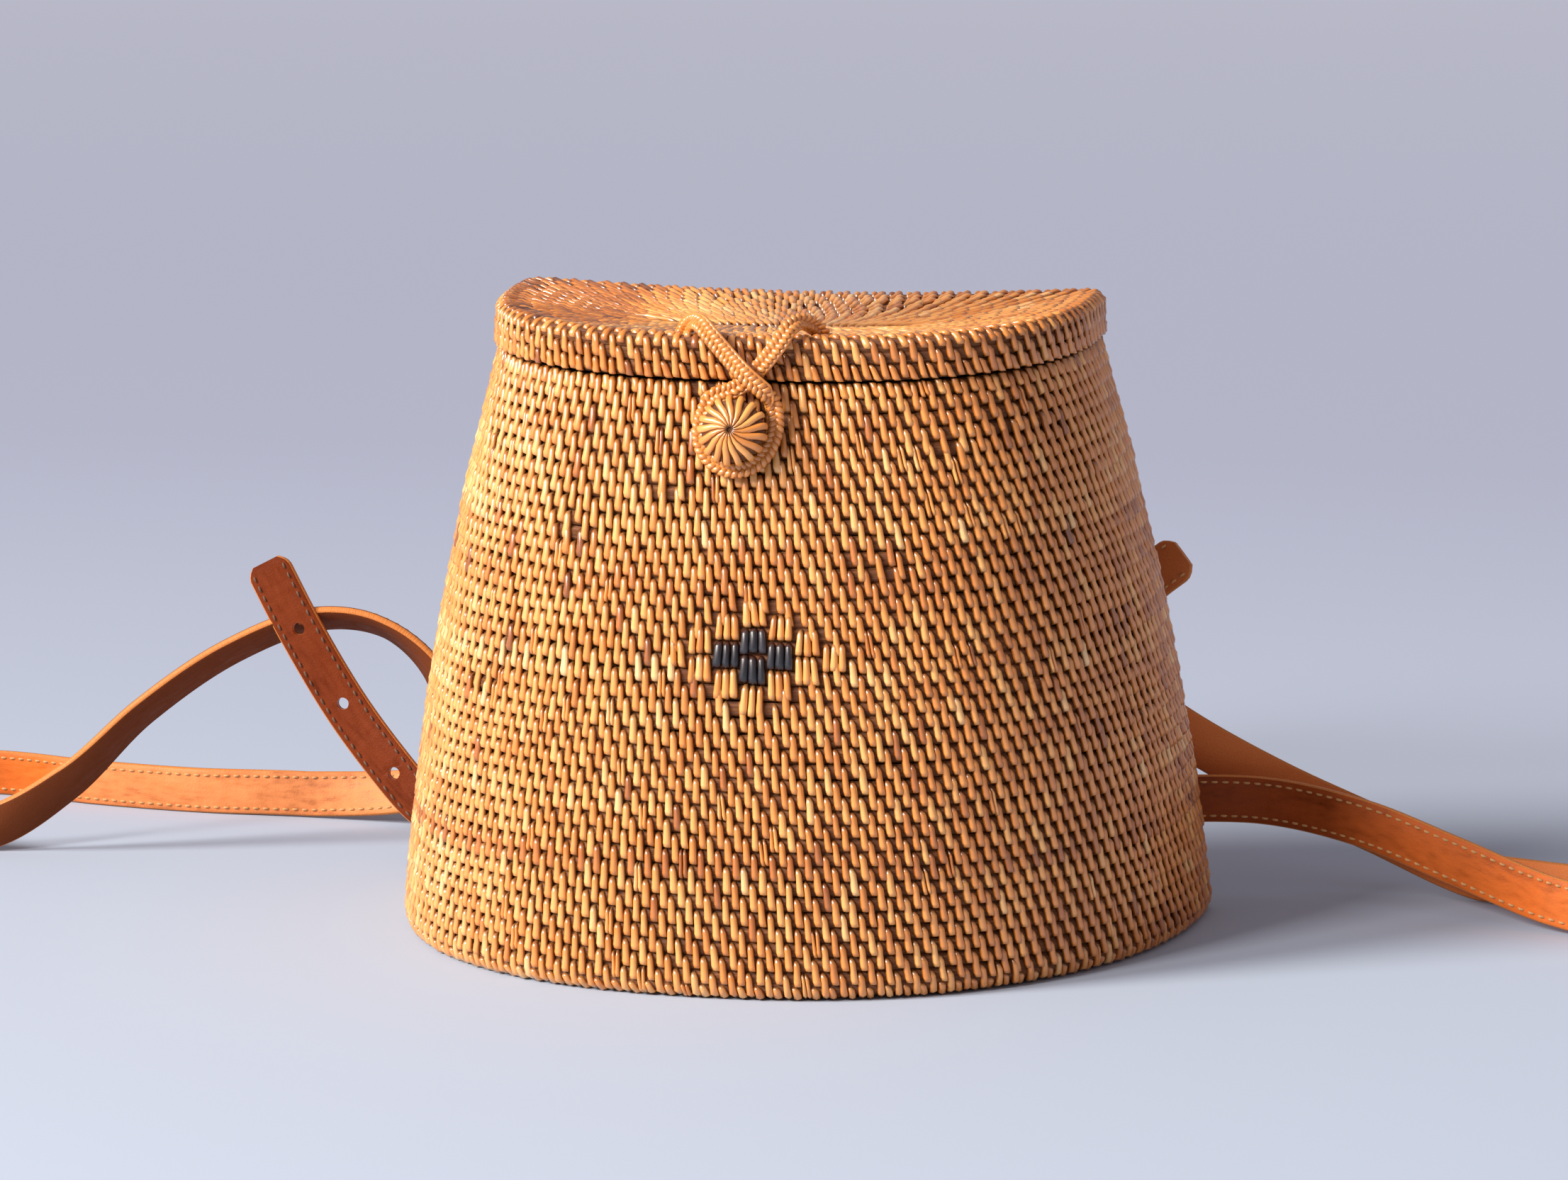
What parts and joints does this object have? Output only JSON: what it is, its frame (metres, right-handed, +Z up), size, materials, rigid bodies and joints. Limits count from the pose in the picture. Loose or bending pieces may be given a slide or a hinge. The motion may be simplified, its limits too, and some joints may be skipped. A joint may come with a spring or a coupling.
{
  "type": "woven straw backpack",
  "caption": "Flat-backed backpack of coiled rattan with a hinged dished lid, a plaited loop over a woven button, and leather shoulder straps.",
  "frame": {"origin": "middle of the basket's base, on the floor", "axes": "+Z up, +X to the right seen from the front, +Y towards the wearer's back, which is the flat wall"},
  "size_m": [0.693, 0.2462, 0.1988],
  "materials": {
    "rattan": "split rattan, satin",
    "rattan_cord": "plaited rattan, satin",
    "leather": "vegetable-tanned leather, semi-matt",
    "brass": "aged brass"
  },
  "bodies": {
    "body": {"basket": "rattan", "hinge_ring_left": "rattan_cord", "hinge_ring_right": "rattan_cord", "button": "rattan", "strap_patch_left": "leather", "strap_patch_right": "leather", "shoulder_strap_left": "leather", "shoulder_strap_right": "leather", "lower_tab_left": "leather", "lower_tab_right": "leather", "strap_ring_left": "brass", "strap_ring_right": "brass", "buckle_left": "brass", "buckle_right": "brass"},
    "lid": {"lid": "rattan", "closure_loop": "rattan_cord"}
  },
  "joints": [
    {"name": "lid_hinge", "type": "hinge", "parent": "body", "child": "lid", "pos_m": [0, 0.0623, 0.1785], "axis": [-1, 0, 0], "range_deg": [0, 100], "deforming": ["closure_loop"]}
  ]
}
